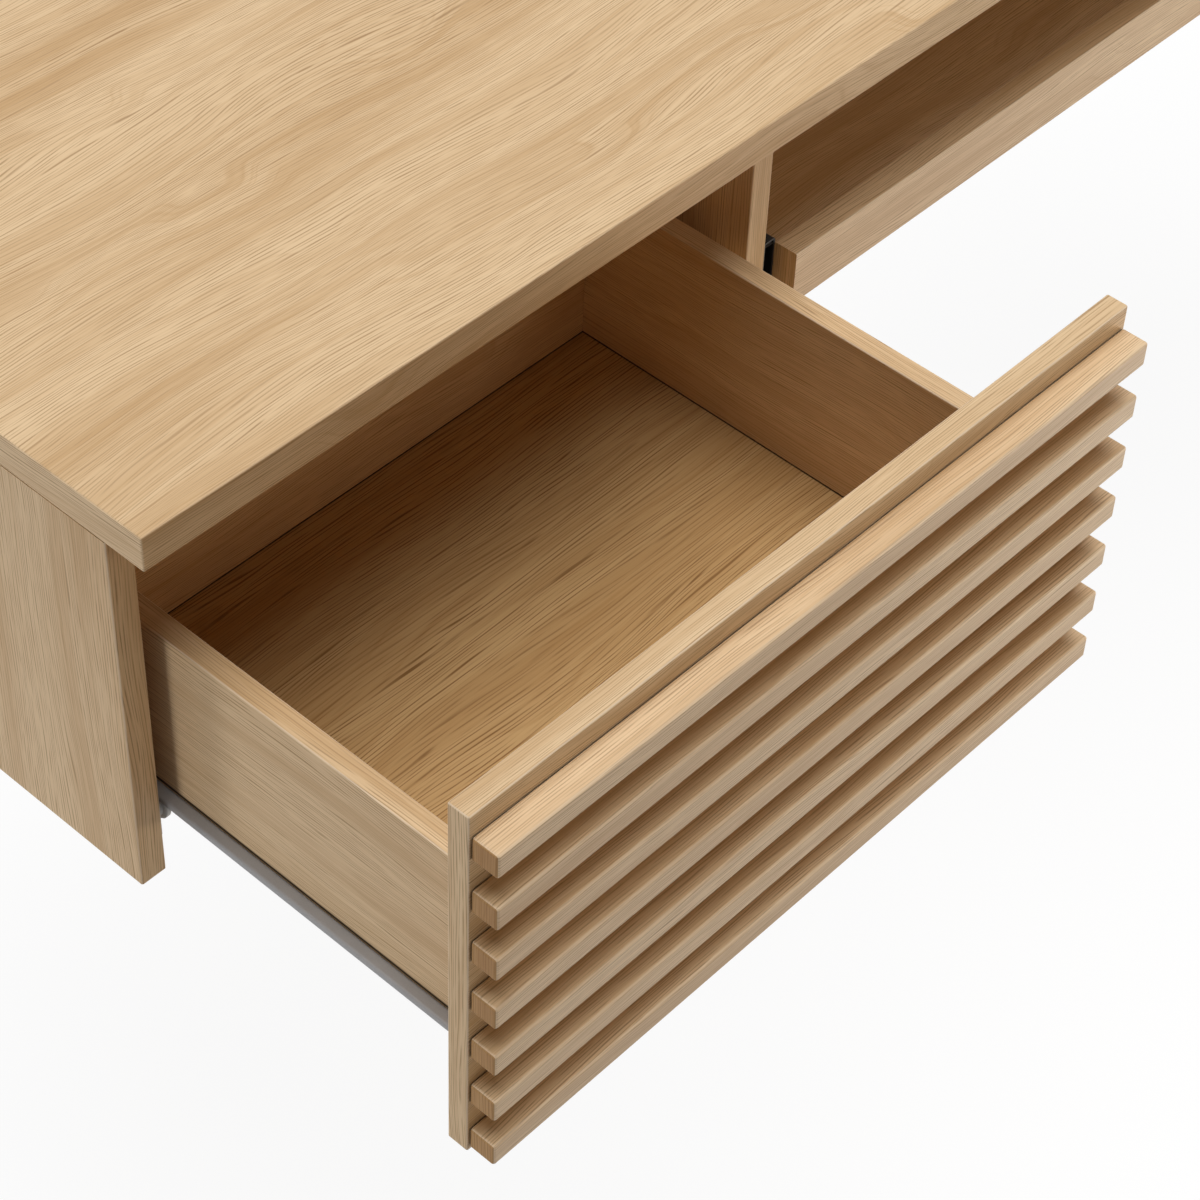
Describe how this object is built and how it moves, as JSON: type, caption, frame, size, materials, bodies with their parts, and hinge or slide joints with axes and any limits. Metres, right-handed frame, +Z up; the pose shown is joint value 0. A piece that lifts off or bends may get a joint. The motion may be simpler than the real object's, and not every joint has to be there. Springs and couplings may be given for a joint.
{
  "type": "wall-mounted desk",
  "caption": "Wall-hung oak-finish desk with slat-fronted drawers on roller slides either side of a pull-out keyboard tray.",
  "frame": {"origin": "centre of the wall screw pattern, on the face of the back board that lies against the wall", "axes": "+X to the right along the wall as seen from the room, +Y into the wall, +Z up"},
  "size_m": [1.4, 0.6835, 0.248],
  "materials": {
    "oak_board": "light oak laminate, matt, with banded edges",
    "oak_thin_panel": "thin board with light oak paper on its upper face",
    "grey_steel": "grey epoxy powder coat",
    "black_steel": "black electrophoretic coat",
    "nylon": "moulded nylon",
    "zinc_steel": "zinc plated",
    "bearing_steel": "bright steel balls in a plain strip",
    "beech_dowel": "raw beech"
  },
  "bodies": {
    "carcass": {"back_board": "oak_board", "cam_bolts": "zinc_steel", "cam_discs": "zinc_steel", "carcass_dowels": "beech_dowel", "desktop": "oak_board", "left_bay_left_rail": "grey_steel", "left_bay_right_rail": "grey_steel", "left_divider": "oak_board", "left_side_panel": "oak_board", "right_bay_left_rail": "grey_steel", "right_bay_right_rail": "grey_steel", "right_divider": "oak_board", "right_side_panel": "oak_board", "slide_screws": "zinc_steel", "tray_left_outer_slide": "black_steel", "tray_right_outer_slide": "black_steel"},
    "keyboard_tray": {"fascia_dowels": "beech_dowel", "keyboard_tray": "oak_board", "tray_fascia": "oak_board", "tray_left_inner_slide": "black_steel", "tray_right_inner_slide": "black_steel", "tray_screws": "zinc_steel"},
    "left_drawer": {"left_drawer_back": "oak_board", "left_drawer_bottom": "oak_thin_panel", "left_drawer_dowels": "beech_dowel", "left_drawer_front": "oak_board", "left_drawer_left_runner": "grey_steel", "left_drawer_left_side": "oak_board", "left_drawer_right_runner": "grey_steel", "left_drawer_right_side": "oak_board", "left_drawer_screws": "zinc_steel", "left_drawer_slat_1": "oak_board", "left_drawer_slat_2": "oak_board", "left_drawer_slat_3": "oak_board", "left_drawer_slat_4": "oak_board", "left_drawer_slat_5": "oak_board", "left_drawer_slat_6": "oak_board", "left_drawer_slat_7": "oak_board"},
    "left_front_rollers": {"left_front_rollers": "nylon"},
    "left_rear_rollers": {"left_rear_rollers": "nylon"},
    "right_drawer": {"right_drawer_back": "oak_board", "right_drawer_bottom": "oak_thin_panel", "right_drawer_dowels": "beech_dowel", "right_drawer_front": "oak_board", "right_drawer_left_runner": "grey_steel", "right_drawer_left_side": "oak_board", "right_drawer_right_runner": "grey_steel", "right_drawer_right_side": "oak_board", "right_drawer_screws": "zinc_steel", "right_drawer_slat_1": "oak_board", "right_drawer_slat_2": "oak_board", "right_drawer_slat_3": "oak_board", "right_drawer_slat_4": "oak_board", "right_drawer_slat_5": "oak_board", "right_drawer_slat_6": "oak_board", "right_drawer_slat_7": "oak_board"},
    "right_front_rollers": {"right_front_rollers": "nylon"},
    "right_rear_rollers": {"right_rear_rollers": "nylon"},
    "ball_cages": {"tray_ball_cages": "bearing_steel"}
  },
  "joints": [
    {"name": "left_drawer_slide", "type": "slide", "parent": "carcass", "child": "left_drawer", "axis": [0, -1, 0], "range_m": [-0.2, 0.03]},
    {"name": "right_drawer_slide", "type": "slide", "parent": "carcass", "child": "right_drawer", "axis": [0, -1, 0], "range_m": [0, 0.23]},
    {"name": "keyboard_tray_slide", "type": "slide", "parent": "carcass", "child": "keyboard_tray", "axis": [0, -1, 0], "range_m": [0, 0.21]},
    {"name": "ball_cage_slide", "type": "slide", "parent": "carcass", "child": "ball_cages", "axis": [0, -1, 0], "range_m": [0, 0.105]},
    {"name": "left_front_roller_spin", "type": "hinge", "parent": "carcass", "child": "left_front_rollers", "pos_m": [-0.48, -0.4425, -0.0815], "axis": [1, 0, 0], "range_deg": [-1274, 191]},
    {"name": "left_rear_roller_spin", "type": "hinge", "parent": "left_drawer", "child": "left_rear_rollers", "pos_m": [-0.48, -0.3665, -0.0827], "axis": [1, 0, 0], "range_deg": [-1638, 246]},
    {"name": "right_front_roller_spin", "type": "hinge", "parent": "carcass", "child": "right_front_rollers", "pos_m": [0.48, -0.4425, -0.0815], "axis": [1, 0, 0], "range_deg": [0, 1465]},
    {"name": "right_rear_roller_spin", "type": "hinge", "parent": "right_drawer", "child": "right_rear_rollers", "pos_m": [0.48, -0.1665, -0.0827], "axis": [1, 0, 0], "range_deg": [0, 1883]}
  ],
  "couplings": [
    {"joint": "ball_cage_slide", "follows": "keyboard_tray_slide", "ratio": 0.5},
    {"joint": "left_front_roller_spin", "follows": "left_drawer_slide", "rad_per_m": 111.11},
    {"joint": "left_rear_roller_spin", "follows": "left_drawer_slide", "rad_per_m": 142.86},
    {"joint": "right_front_roller_spin", "follows": "right_drawer_slide", "rad_per_m": 111.11},
    {"joint": "right_rear_roller_spin", "follows": "right_drawer_slide", "rad_per_m": 142.86}
  ]
}
